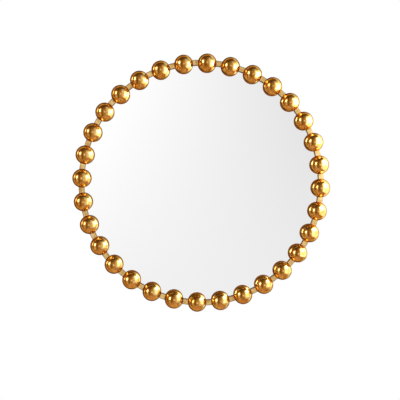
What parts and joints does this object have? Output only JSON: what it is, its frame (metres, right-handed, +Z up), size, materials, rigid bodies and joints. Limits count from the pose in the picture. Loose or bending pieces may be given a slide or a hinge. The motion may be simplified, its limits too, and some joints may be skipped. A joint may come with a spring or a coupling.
{
  "type": "round wall mirror",
  "caption": "Round flat wall mirror in a ring of polished gold balls joined by a flat bar, with a boarded back, rubber wall bumpers and swinging D-ring hangers.",
  "frame": {"origin": "middle of the mirror in the wall plane, where the bumpers' faces rest", "axes": "+Z up, +X to the viewer's right, +Y into the wall, so the mirror faces -Y"},
  "size_m": [0.9132, 0.0705, 0.9132],
  "materials": {
    "gilded_wood": "burnished gold leaf on turned wood",
    "gilded_steel": "satin gold leaf on steel",
    "mirror_plate": "silvered glass",
    "white_foam": "closed-cell foam sheet",
    "fibre_board": "bare fibre board",
    "bronze_paint": "dark bronze paint",
    "zinc_steel": "bright zinc plate",
    "black_rubber": "matte"
  },
  "bodies": {
    "mirror": {"bead_01": "gilded_wood", "bead_02": "gilded_wood", "bead_03": "gilded_wood", "bead_04": "gilded_wood", "bead_05": "gilded_wood", "bead_06": "gilded_wood", "bead_07": "gilded_wood", "bead_08": "gilded_wood", "bead_09": "gilded_wood", "bead_10": "gilded_wood", "bead_11": "gilded_wood", "bead_12": "gilded_wood", "bead_13": "gilded_wood", "bead_14": "gilded_wood", "bead_15": "gilded_wood", "bead_16": "gilded_wood", "bead_17": "gilded_wood", "bead_18": "gilded_wood", "bead_19": "gilded_wood", "bead_20": "gilded_wood", "bead_21": "gilded_wood", "bead_22": "gilded_wood", "bead_23": "gilded_wood", "bead_24": "gilded_wood", "bead_25": "gilded_wood", "bead_26": "gilded_wood", "bead_27": "gilded_wood", "bead_28": "gilded_wood", "bead_29": "gilded_wood", "bead_30": "gilded_wood", "bead_31": "gilded_wood", "bead_32": "gilded_wood", "ring_bar": "gilded_steel", "rebate_band": "gilded_steel", "ring_joint_dowel": "zinc_steel", "ring_joint_screw": "gilded_steel", "bead_screws": "zinc_steel", "mirror_glass": "mirror_plate", "glass_cushion": "white_foam", "back_board": "fibre_board", "retaining_lug_1": "bronze_paint", "retaining_lug_2": "bronze_paint", "retaining_lug_3": "bronze_paint", "retaining_lug_4": "bronze_paint", "retaining_lug_5": "bronze_paint", "retaining_lug_6": "bronze_paint", "retaining_lug_7": "bronze_paint", "retaining_lug_8": "bronze_paint", "lug_screws": "zinc_steel", "wall_bumper_1": "black_rubber", "wall_bumper_2": "black_rubber", "wall_bumper_3": "black_rubber", "wall_bumper_4": "black_rubber", "bumper_screws": "zinc_steel", "hanger_strap_left": "zinc_steel", "hanger_strap_right": "zinc_steel", "hanger_screws": "zinc_steel"},
    "left_ring": {"hanger_ring_left": "zinc_steel"},
    "right_ring": {"hanger_ring_right": "zinc_steel"}
  },
  "joints": [
    {"name": "left_ring_swing", "type": "hinge", "parent": "mirror", "child": "left_ring", "pos_m": [-0.23, -0.00662, 0.19], "axis": [1, 0, 0], "range_deg": [0, 180]},
    {"name": "right_ring_swing", "type": "hinge", "parent": "mirror", "child": "right_ring", "pos_m": [0.23, -0.00662, 0.19], "axis": [1, 0, 0], "range_deg": [0, 180]}
  ]
}
